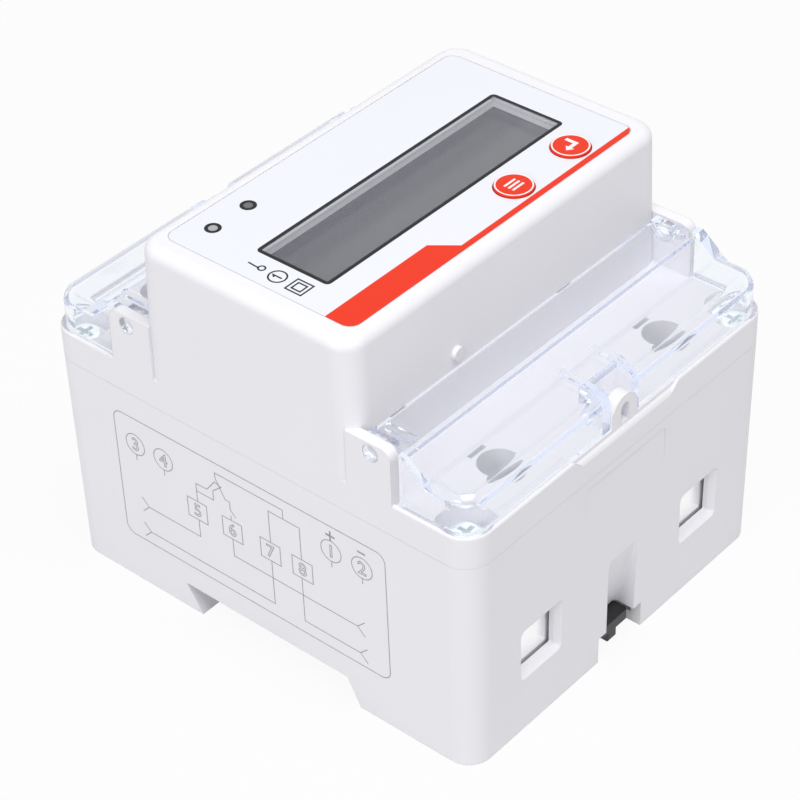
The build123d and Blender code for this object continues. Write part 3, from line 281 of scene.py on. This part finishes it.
def display_glass():
    """The display's front polariser on glass: a satin grey, with a painted reflection that makes it darker
    and bluer towards its far edge.
    """
    material, tree = new_material("polariser_on_glass")
    place = add_node(tree, "ShaderNodeSeparateXYZ", inputs={0: object_coordinates(tree, 1.0)})
    # Painted reflection: the grey deepens across the middle of the window, over twice this distance in
    # millimetres, standing for a dark reflection on the far part
    half_fade = 1.5
    middle = (WINDOW_LOW.y + WINDOW_HIGH.y) / 2 / MM
    far = add_node(tree, "ShaderNodeMapRange", {"interpolation_type": "SMOOTHSTEP"}, {
        "Value": place.outputs["Y"], "From Min": middle - half_fade, "From Max": middle + half_fade})
    colour = add_node(tree, "ShaderNodeMix", {"data_type": "RGBA"}, {
        "Factor": far.outputs[0], "A": linear("#54595E"), "B": linear("#3E434E")})
    shader = add_node(tree, "ShaderNodeBsdfPrincipled", inputs={
        "Base Color": mottled(tree, colour.outputs["Result"], 9.0, 0.015), "Roughness": 0.25, "IOR": 1.5})
    finish_material(tree, shader.outputs[0])
    return material


def seen_ray(tree):
    """1 for a ray from the camera, or one that a shining or clear surface sent on, else 0."""
    ray = add_node(tree, "ShaderNodeLightPath")
    seen = add_node(tree, "ShaderNodeMath", {"operation": "MAXIMUM"}, {
        0: ray.outputs["Is Camera Ray"], 1: ray.outputs["Is Glossy Ray"]})
    return add_node(tree, "ShaderNodeMath", {"operation": "MAXIMUM"}, {
        0: seen.outputs[0], 1: ray.outputs["Is Transmission Ray"]}).outputs[0]


def give(material, *nodes):
    """Puts the material on these CAD nodes."""
    for name in nodes:
        mesh = NODES[name].data
        mesh.materials.clear()
        mesh.materials.append(material)
        for face in mesh.polygons:
            face.material_index = 0


# Planes that the prints lie on, in millimetres: across, up and out of the surface
LEAN = math.tan(BODY_DRAFT)
SIDE_PLANE = Matrix((
    (0.0, -math.sin(BODY_DRAFT), -math.cos(BODY_DRAFT), -(HALF_WIDTH - PARTING_Z * LEAN)),
    (-1.0, 0.0, 0.0, 0.0),
    (0.0, math.cos(BODY_DRAFT), -math.sin(BODY_DRAFT), 0.0),
    (0.0, 0.0, 0.0, 1.0)))
FILM_PLANE = Matrix.Translation((0.0, 0.0, FILM_HIGH.z / MM))


def offset_line(points, distance, closed):
    """The line moved sideways by distance, with its corners mitred."""
    count = len(points)
    moved = []
    for i, point in enumerate(points):
        before = points[(i - 1) % count] if closed or i > 0 else None
        after = points[(i + 1) % count] if closed or i < count - 1 else None
        sides = []
        for a, b in ((before, point), (point, after)):
            if a is not None and b is not None:
                along = (b - a).normalized()
                sides.append(Vector((-along.y, along.x)))
        if len(sides) == 1:
            moved.append(point + sides[0] * distance)
        else:
            middle = (sides[0] + sides[1]).normalized()
            moved.append(point + middle * (distance / max(0.3, middle.dot(sides[0]))))
    return moved


def arc(centre, radius, start, end, steps):
    """Points on an arc, angles in degrees."""
    return [
        (centre[0] + radius * math.cos(math.radians(start + (end - start) * i / steps)),
         centre[1] + radius * math.sin(math.radians(start + (end - start) * i / steps)))
        for i in range(steps + 1)]


def circle(centre, radius, steps=48):
    return arc(centre, radius, 0, 360, steps)[:-1]


def rounded_box(low_x, low_y, high_x, high_y, radius, steps=8):
    """Corners of a box with round corners, counter-clockwise from the lower left."""
    corners = (
        (low_x + radius, low_y + radius, 180), (high_x - radius, low_y + radius, 270),
        (high_x - radius, high_y - radius, 0), (low_x + radius, high_y - radius, 90))
    points = []
    for x, y, start in corners:
        points += arc((x, y), radius, start, start + 90, steps)
    return points


def outline_loops(outline):
    """The closed loops of edges in a mesh, as lists of point numbers in order."""
    near = {}
    for edge in outline.edges:
        a, b = edge.vertices
        near.setdefault(a, []).append(b)
        near.setdefault(b, []).append(a)
    loops = []
    while near:
        start = min(near)
        loop = [start]
        while True:
            ahead = [i for i in near.pop(loop[-1]) if i in near]
            if not ahead:
                break
            loop.append(ahead[0])
        loops.append(loop)
    return loops


class InkLayer:
    """Flat shapes on a plane that become one thin printed piece."""

    def __init__(self, name, plane, height_mm):
        self.name = name
        self.plane = plane
        self.height = height_mm
        self.mesh = bmesh.new()

    def _add(self, loop):
        return [self.mesh.verts.new((x, y, self.height)) for x, y in loop]

    def line(self, points, width, closed=False):
        """A stroke of this width along the points."""
        points = [Vector(p) for p in points]
        left = self._add(offset_line(points, width / 2, closed))
        right = self._add(offset_line(points, -width / 2, closed))
        last = len(points) if closed else len(points) - 1
        for i in range(last):
            j = (i + 1) % len(points)
            self.mesh.faces.new((right[i], right[j], left[j], left[i]))

    def fill(self, points):
        """A filled outline, counter-clockwise."""
        self.mesh.faces.new(self._add(points))

    def hollow_digit(self, text, centre, size, width):
        """A plain number drawn by its outline, centred."""
        curve = bpy.data.curves.new("digit", "FONT")
        curve.body = text
        curve.size = size
        curve.resolution_u = 3
        curve.fill_mode = "NONE"
        holder = bpy.data.objects.new("digit", curve)
        bpy.context.scene.collection.objects.link(holder)
        bpy.context.view_layer.update()
        evaluated = holder.evaluated_get(bpy.context.evaluated_depsgraph_get())
        outline = bpy.data.meshes.new_from_object(evaluated)
        xs = [v.co.x for v in outline.vertices]
        ys = [v.co.y for v in outline.vertices]
        shift = Vector((centre[0] - (min(xs) + max(xs)) / 2, centre[1] - (min(ys) + max(ys)) / 2))
        for loop in outline_loops(outline):
            self.line([outline.vertices[i].co.xy + shift for i in loop], width, closed=True)
        bpy.data.objects.remove(holder)
        bpy.data.curves.remove(curve)
        bpy.data.meshes.remove(outline)

    def make(self, material, body):
        """The finished piece, as thick as the ink, riding on a body."""
        data = bpy.data.meshes.new(self.name)
        bmesh.ops.recalc_face_normals(self.mesh, faces=self.mesh.faces)
        for face in self.mesh.faces:
            if face.normal.z < 0:
                face.normal_flip()
        bmesh.ops.triangulate(self.mesh, faces=[f for f in self.mesh.faces if len(f.verts) > 4])
        self.mesh.to_mesh(data)
        self.mesh.free()
        data.transform(Matrix.Scale(MM, 4) @ self.plane)
        piece = bpy.data.objects.new(self.name, data)
        bpy.context.scene.collection.objects.link(piece)
        thickness = piece.modifiers.new("ink", "SOLIDIFY")
        thickness.thickness = self.height * MM
        thickness.offset = -1.0
        data.materials.append(material)
        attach(piece, body)
        return piece


# Front film: places in millimetres from the middle of the front
STRIPE_LOW = FILM_LOW.y / MM
STRIPE_HIGH = -13.9
STRIPE_THIN_HIGH = -18.0
STRIPE_KINK_X = (-11.1, -7.9)
FILM_CORNER = 2.0
FRAME_LINE = (-27.76, -8.82, 28.29, 5.16)
FRAME_CORNER = 0.5
LIGHTS = ((-27.75, 14.6), (-19.88, 14.6))
LIGHT_RING = (0.78, 1.36)
SWITCH_SIGN = ((-31.0, 4.2), (-31.15, 2.0))
SIGN_STROKE = 0.28
SWITCH_KNOB = (-30.9, 1.55)
SWITCH_KNOB_RADIUS = 0.57
NUMBER_SIGN = (-31.03, -1.77)
NUMBER_RING_RADIUS = 1.45
NUMBER_STROKES = ((-0.42, 0.4), (0, 0.85), (0, -0.85))
CLASS_SIGN = ((-32.5, -7.68, -29.55, -4.57), (-31.85, -6.98, -30.2, -5.27))

# Marks on the keys: places in millimetres from a key's middle
KEYS = (("menu_button", "menu_key"), ("enter_button", "enter_key"))
KEY_RING_RADIUS, KEY_RING_WIDTH = 2.99, 0.24
RETURN_LINE, RETURN_WIDTH = ((0.95, 1.7), (0.95, -0.32), (-0.6, -0.32)), 0.68
RETURN_HEAD = ((-1.65, -0.36), (-0.6, -1.17), (-0.6, 0.48))
BAR_LEVELS, BAR_HALF_LENGTH, BAR_WIDTH = (0.85, 0.0, -0.85), 1.35, 0.4

# Side diagram: across from the middle, up from the back
DIAGRAM_FRAME = (-30.7, 9.85, 27.2, 36.0)
DIAGRAM_CORNER = 1.8
DIAGRAM_CIRCLES = {"3": (-26.3, 30.5), "4": (-20.0, 30.5), "1": (16.1, 30.9), "2": (22.4, 30.9)}
CIRCLE_RADIUS = 2.08
STEM_LENGTH = 1.15
# The plus and minus stand over the circles 1 and 2
POLE_RISE, POLE_WIDTH = 3.1, 0.34
PLUS_REACH, MINUS_REACH = 0.95, 0.8
BOX_LOW, BOX_HIGH = 21.55, 25.5
BOX_STARTS = {"5": -15.2, "6": -7.5, "7": 0.75, "8": 7.55}
BOX_WIDTH = 4.25
CONTACT = (
    (-12.85, BOX_HIGH), (-12.85, 29.35), (-10.4, 29.4), (-8.5, 31.9), (-7.1, 31.5), (-9.05, 29.8),
    (-9.1, 27.8), (-12.85, 27.8))
LINKS = (
    ((6.2, 32.05), (6.2, 33.9), (-8.3, 33.9), (-8.25, 32.8), (-6.4, 29.35), (-5.45, 29.3), (-5.45, 27.7),
     (-4.35, 26.6)),
    ((-5.45, 26.5), (-5.45, BOX_HIGH)),
    ((3.05, BOX_HIGH), (3.05, 32.05), (9.6, 32.05), (9.6, BOX_HIGH)),
    ((-24.7, 17.95), (-13.0, 17.95), (-13.0, BOX_LOW)),
    ((-24.9, 12.4), (2.95, 12.4), (2.95, BOX_LOW)),
    ((-5.5, BOX_LOW), (-5.5, 17.95), (20.8, 17.95)),
    ((9.4, BOX_LOW), (9.4, 12.4), (21.1, 12.4)))
FORKS = ((-24.7, 17.95, -1), (-24.9, 12.4, -1), (20.8, 17.95, 1), (21.1, 12.4, 1))
FORK_REACH = 1.5


class METER_OT_housing(bpy.types.Operator):
    """Finishes the two housing halves and the rail clip"""
    bl_idname = "meter.housing"
    bl_label = "Housing"

    def execute(self, context):
        colours = context.scene.meter_colours
        give(white_abs(colours), "lower_housing", "upper_housing")
        polyamide = plastic(
            "black_polyamide_moulded", linear("#1B1B1D"), roughness=0.45, grain_mm=0.3, edge_mm=0.2)
        give(polyamide, "din_clip")
        return {"FINISHED"}


class METER_OT_covers(bpy.types.Operator):
    """Finishes the clear terminal covers"""
    bl_idname = "meter.covers"
    bl_label = "Terminal covers"

    def execute(self, context):
        colours = context.scene.meter_colours
        # 1.5 mm walls look almost free of colour, and a long way through an edge looks a little blue
        give(clear_moulding("clear_polycarbonate", colours.cover_tint, "#F7F9FD", ior=1.58),
             "bottom_terminal_cover", "top_terminal_cover")
        return {"FINISHED"}


class METER_OT_front(bpy.types.Operator):
    """Finishes the front film, the window, the display, the keys and the light pipes"""
    bl_idname = "meter.front"
    bl_label = "Front"

    def execute(self, context):
        colours = context.scene.meter_colours
        give(printed_film(colours), "faceplate_film")
        give(clear_moulding("clear_acrylic", linear("#FDFDFE"), "#F4F5FC", ior=1.49), "display_window")
        give(display_glass(), "lcd_glass")
        # Diffusing acrylic: unlit, the pipe shows the grey of what is under it, so each grey is painted
        # shade standing for the dark under the pipe
        give(plastic("power_lens_acrylic", linear("#A9AAAF"), 0.22, ior=1.49), "power_light_pipe")
        give(plastic("pulse_lens_acrylic", linear("#63646A"), 0.22, ior=1.49), "pulse_light_pipe")
        give(screen_ink("key_print_red", colours.ink_red), "menu_button", "enter_button")
        return {"FINISHED"}


class METER_OT_front_print(bpy.types.Operator):
    """Prints the film: stripe, window frame, light rings, signs and the marks on the keys"""
    bl_idname = "meter.front_print"
    bl_label = "Front print"

    def execute(self, context):
        colours = context.scene.meter_colours
        prints = context.scene.meter_prints
        ink = prints.ink_height / MM
        red = screen_ink("film_print_red", colours.ink_red)
        black = screen_ink("film_print_black", colours.ink_black)
        white = screen_ink("film_print_white", linear("#F4F2F4"))

        stripe = InkLayer("red_stripe_print", FILM_PLANE, ink)
        left, right = FILM_LOW.x / MM, FILM_HIGH.x / MM
        outline = arc((left + FILM_CORNER, STRIPE_LOW + FILM_CORNER), FILM_CORNER, 180, 270, 8)
        # The thin part ends on the film's round corner, at the height of its upper edge
        drop = math.degrees(math.asin((STRIPE_LOW + FILM_CORNER - STRIPE_THIN_HIGH) / FILM_CORNER))
        outline += arc((right - FILM_CORNER, STRIPE_LOW + FILM_CORNER), FILM_CORNER, 270, 360 - drop, 6)
        outline += [
            (STRIPE_KINK_X[1], STRIPE_THIN_HIGH), (STRIPE_KINK_X[0], STRIPE_HIGH), (left, STRIPE_HIGH)]
        stripe.fill(outline)
        stripe.make(red, "housing")

        window = InkLayer("window_frame_print", FILM_PLANE, ink)
        window.line(rounded_box(*FRAME_LINE, FRAME_CORNER), prints.frame_width / MM, closed=True)
        window.make(black, "housing")

        rings = InkLayer("light_ring_prints", FILM_PLANE, ink)
        for centre in LIGHTS:
            rings.line(circle(centre, sum(LIGHT_RING) / 2), LIGHT_RING[1] - LIGHT_RING[0], closed=True)
        rings.make(black, "housing")

        signs = InkLayer("front_sign_prints", FILM_PLANE, ink)
        signs.line(SWITCH_SIGN, SIGN_STROKE)
        signs.line(circle(SWITCH_KNOB, SWITCH_KNOB_RADIUS, 24), SIGN_STROKE, closed=True)
        signs.line(circle(NUMBER_SIGN, NUMBER_RING_RADIUS), SIGN_STROKE, closed=True)
        one_x, one_y = NUMBER_SIGN
        signs.line([(one_x + x, one_y + y) for x, y in NUMBER_STROKES], SIGN_STROKE)
        for low_x, low_y, high_x, high_y in CLASS_SIGN:
            signs.line([(low_x, low_y), (high_x, low_y), (high_x, high_y), (low_x, high_y)], SIGN_STROKE,
                       closed=True)
        signs.make(black, "housing")

        for node, body in KEYS:
            low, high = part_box(node)
            plane = Matrix.Translation((
                (low.x + high.x) / 2 / MM, (low.y + high.y) / 2 / MM, high.z / MM))
            mark = InkLayer(body + "_mark", plane, ink)
            mark.line(circle((0, 0), KEY_RING_RADIUS), KEY_RING_WIDTH, closed=True)
            if node == "enter_button":
                mark.line(RETURN_LINE, RETURN_WIDTH)
                mark.fill(RETURN_HEAD)
            else:
                for level in BAR_LEVELS:
                    mark.line([(-BAR_HALF_LENGTH, level), (BAR_HALF_LENGTH, level)], BAR_WIDTH)
            mark.make(white, body)
        return {"FINISHED"}


class METER_OT_side_marking(bpy.types.Operator):
    """Marks the connection diagram on the left side"""
    bl_idname = "meter.side_marking"
    bl_label = "Side marking"

    def execute(self, context):
        colours = context.scene.meter_colours
        prints = context.scene.meter_prints
        ink = prints.ink_height / MM
        width = prints.line_width / MM
        size = prints.digit_height / MM
        layer = InkLayer("side_diagram_marking", SIDE_PLANE, ink)
        layer.line(rounded_box(*DIAGRAM_FRAME, DIAGRAM_CORNER), width, closed=True)
        for number, (x, z) in DIAGRAM_CIRCLES.items():
            layer.line(circle((x, z), CIRCLE_RADIUS), width, closed=True)
            layer.hollow_digit(number, (x, z), size, width)
            layer.line([(x, z - CIRCLE_RADIUS), (x, z - CIRCLE_RADIUS - STEM_LENGTH)], width)
        x, z = DIAGRAM_CIRCLES["1"]
        z += POLE_RISE
        layer.line([(x - PLUS_REACH, z), (x + PLUS_REACH, z)], POLE_WIDTH)
        layer.line([(x, z - PLUS_REACH), (x, z + PLUS_REACH)], POLE_WIDTH)
        x, z = DIAGRAM_CIRCLES["2"]
        z += POLE_RISE
        layer.line([(x - MINUS_REACH, z), (x + MINUS_REACH, z)], POLE_WIDTH)
        for number, start in BOX_STARTS.items():
            end = start + BOX_WIDTH
            box = [(start, BOX_LOW), (end, BOX_LOW), (end, BOX_HIGH), (start, BOX_HIGH)]
            layer.line(box, width, closed=True)
            layer.hollow_digit(number, ((start + end) / 2, (BOX_LOW + BOX_HIGH) / 2), size, width)
        layer.line(CONTACT, width)
        for link in LINKS:
            layer.line(link, width)
        for x, z, way in FORKS:
            end = x + way * FORK_REACH
            layer.line([(end, z + FORK_REACH), (x, z), (end, z - FORK_REACH)], width)
        layer.make(laser_marking(colours), "housing")
        return {"FINISHED"}


class METER_OT_terminals(bpy.types.Operator):
    """Finishes the clamps, screws and bars"""
    bl_idname = "meter.terminals"
    bl_label = "Terminals"

    def execute(self, context):
        clamps = [name for name in NODES if name.endswith("_clamp")]
        screws = [name for name in NODES if name.endswith(("_screw", "_screws"))]
        give(plated_metal("nickel_plated_steel", "#FCFCFC", 0.22), *clamps)
        give(plated_metal("zinc_plated_steel", "#F0F4F4", 0.6), *screws)
        give(plated_metal("rolled_copper", "#C98A64", 0.3),
             "line_in_busbar", "line_out_busbar", "neutral_busbar")
        give(plated_metal("manganin_strip", "#9A7F6B", 0.35), "current_shunt")
        return {"FINISHED"}


class METER_OT_inside(bpy.types.Operator):
    """Finishes the boards and what is on them"""
    bl_idname = "meter.inside"
    bl_label = "Inside"

    def execute(self, context):
        give(plastic("solder_resist_green", linear("#1F6B3A"), 0.35), "main_board", "display_board")
        give(plastic("epoxy_moulding_black", linear("#202124"), 0.5),
             "metering_chip", "optocoupler", "stacking_header", "menu_switch", "enter_switch",
             "menu_plunger", "enter_plunger", "latching_relay")
        give(plastic("polypropylene_box_yellow", linear("#D9B13A"), 0.35), "safety_capacitor")
        give(plastic("shrink_sleeve_black", linear("#1C1F2B"), 0.3), "filter_capacitor")
        give(plastic("dipped_epoxy_blue", linear("#2B4F9C"), 0.3), "varistor")
        give(plastic("polyamide_green", linear("#2F7D45"), 0.4), "aux_terminal_block")
        give(plastic("backlight_white", linear("#E6E6E6"), 0.5), "lcd_backlight")
        give(plastic("led_lens", linear("#D8D8D4"), 0.3), "led_chips")
        return {"FINISHED"}


# Stage, in metres
CAMERA_PLACE = Vector((-262.0, -231.29, 302.78)) * MM
FLOOR_SIZE = 6.0
# How much of the paper that the camera sees is plain white, where the rest keeps the shadow
PLAIN_WHITE = 0.93
LAMP_TARGET = Vector((0, 0, 0.04))
LAMPS = (
    ("overhead_lamp", Vector((-0.1, -0.26, 0.88)), 0.7, "key_power"),
    ("left_lamp", Vector((-0.9, -0.1, 0.45)), 0.6, "side_power"))


class METER_OT_stage(bpy.types.Operator):
    """Makes the floor, the camera and the light"""
    bl_idname = "meter.stage"
    bl_label = "Stage"

    def execute(self, context):
        studio = context.scene.meter_studio
        data = bpy.data.meshes.new("floor")
        half = FLOOR_SIZE / 2
        corners = [(-half, -half, 0), (half, -half, 0), (half, half, 0), (-half, half, 0)]
        data.from_pydata(corners, [], [(0, 1, 2, 3)])
        floor = bpy.data.objects.new("floor", data)
        context.scene.collection.objects.link(floor)
        material, tree = new_material("white_paper")
        paper = add_node(tree, "ShaderNodeBsdfDiffuse", inputs={"Color": linear("#D8D8D8")})
        # To the camera, and in what shines or is clear, the paper is all but white with a faint shadow
        white = add_node(tree, "ShaderNodeEmission", inputs={"Color": (1, 1, 1, 1), "Strength": 1.0})
        mostly = add_node(tree, "ShaderNodeMath", {"operation": "MULTIPLY"}, {
            0: seen_ray(tree), 1: PLAIN_WHITE})
        mixed = add_node(tree, "ShaderNodeMixShader", inputs={
            "Fac": mostly.outputs[0], 1: paper.outputs[0], 2: white.outputs[0]})
        finish_material(tree, mixed.outputs[0])
        data.materials.append(material)

        self.make_camera(context, studio)
        self.make_light(context, studio)
        return {"FINISHED"}

    def make_camera(self, context, studio):
        """The camera stands where the photograph was taken from."""
        data = bpy.data.cameras.new("camera")
        data.lens = studio.focal_length
        data.sensor_width = 36.0
        data.clip_start, data.clip_end = 0.01, 50.0
        camera = bpy.data.objects.new("camera", data)
        context.scene.collection.objects.link(camera)
        back = Vector((
            math.sin(studio.azimuth) * math.cos(studio.elevation),
            -math.cos(studio.azimuth) * math.cos(studio.elevation),
            math.sin(studio.elevation)))
        across = Vector((0, 0, 1)).cross(back).normalized()
        up = back.cross(across)
        right = across * math.cos(studio.roll) + up * math.sin(studio.roll)
        up = back.cross(right)
        turn = Matrix((right, up, back)).transposed().to_4x4()
        camera.matrix_world = Matrix.Translation(CAMERA_PLACE) @ turn
        context.scene.camera = camera

    def make_light(self, context, studio):
        """A lamp over the front, one on the left, and an even white surround."""
        for name, place, size, power in LAMPS:
            data = bpy.data.lights.new(name, "AREA")
            data.shape = "DISK"
            data.size = size
            data.energy = getattr(studio, power)
            lamp = bpy.data.objects.new(name, data)
            context.scene.collection.objects.link(lamp)
            lamp.location = place
            lamp.rotation_euler = (LAMP_TARGET - place).to_track_quat("-Z", "Y").to_euler()
        world = bpy.data.worlds.new("surround")
        world.use_nodes = True
        tree = world.node_tree
        tree.nodes.clear()
        even = add_node(tree, "ShaderNodeBackground", inputs={
            "Color": (1, 1, 1, 1), "Strength": studio.sky_strength})
        white = add_node(tree, "ShaderNodeBackground", inputs={"Color": (1, 1, 1, 1), "Strength": 1.0})
        mixed = add_node(tree, "ShaderNodeMixShader", inputs={
            "Fac": seen_ray(tree), 1: even.outputs[0], 2: white.outputs[0]})
        add_node(tree, "ShaderNodeOutputWorld", inputs={"Surface": mixed.outputs[0]})
        context.scene.world = world


class METER_PT_panel(bpy.types.Panel):
    """Lists the sizes, colours and steps of the meter"""
    bl_idname = "METER_PT_panel"
    bl_label = "Energy meter"
    bl_space_type = "VIEW_3D"
    bl_region_type = "UI"
    bl_category = "Meter"

    def draw(self, context):
        scene = context.scene
        for group in (scene.meter_prints, scene.meter_colours, scene.meter_studio):
            box = self.layout.box()
            for key in group.__annotations__:
                box.prop(group, key)
        for operator in OPERATORS:
            self.layout.operator(operator.bl_idname)


GROUPS = {"meter_prints": MeterPrints, "meter_colours": MeterColours, "meter_studio": MeterStudio}
OPERATORS = (
    METER_OT_housing, METER_OT_covers, METER_OT_front, METER_OT_front_print, METER_OT_side_marking,
    METER_OT_terminals, METER_OT_inside, METER_OT_stage)


def register():
    for cls in (*GROUPS.values(), *OPERATORS, METER_PT_panel):
        bpy.utils.register_class(cls)
    for name, cls in GROUPS.items():
        setattr(bpy.types.Scene, name, bpy.props.PointerProperty(type=cls))


def unregister():
    for name in GROUPS:
        delattr(bpy.types.Scene, name)
    for cls in reversed((*GROUPS.values(), *OPERATORS, METER_PT_panel)):
        bpy.utils.unregister_class(cls)


def main():
    register()
    bpy.context.scene.view_settings.view_transform = "Standard"
    bpy.ops.meter.housing()
    bpy.ops.meter.covers()
    bpy.ops.meter.front()
    bpy.ops.meter.front_print()
    bpy.ops.meter.side_marking()
    bpy.ops.meter.terminals()
    bpy.ops.meter.inside()
    bpy.ops.meter.stage()


if __name__ == "__main__":
    main()
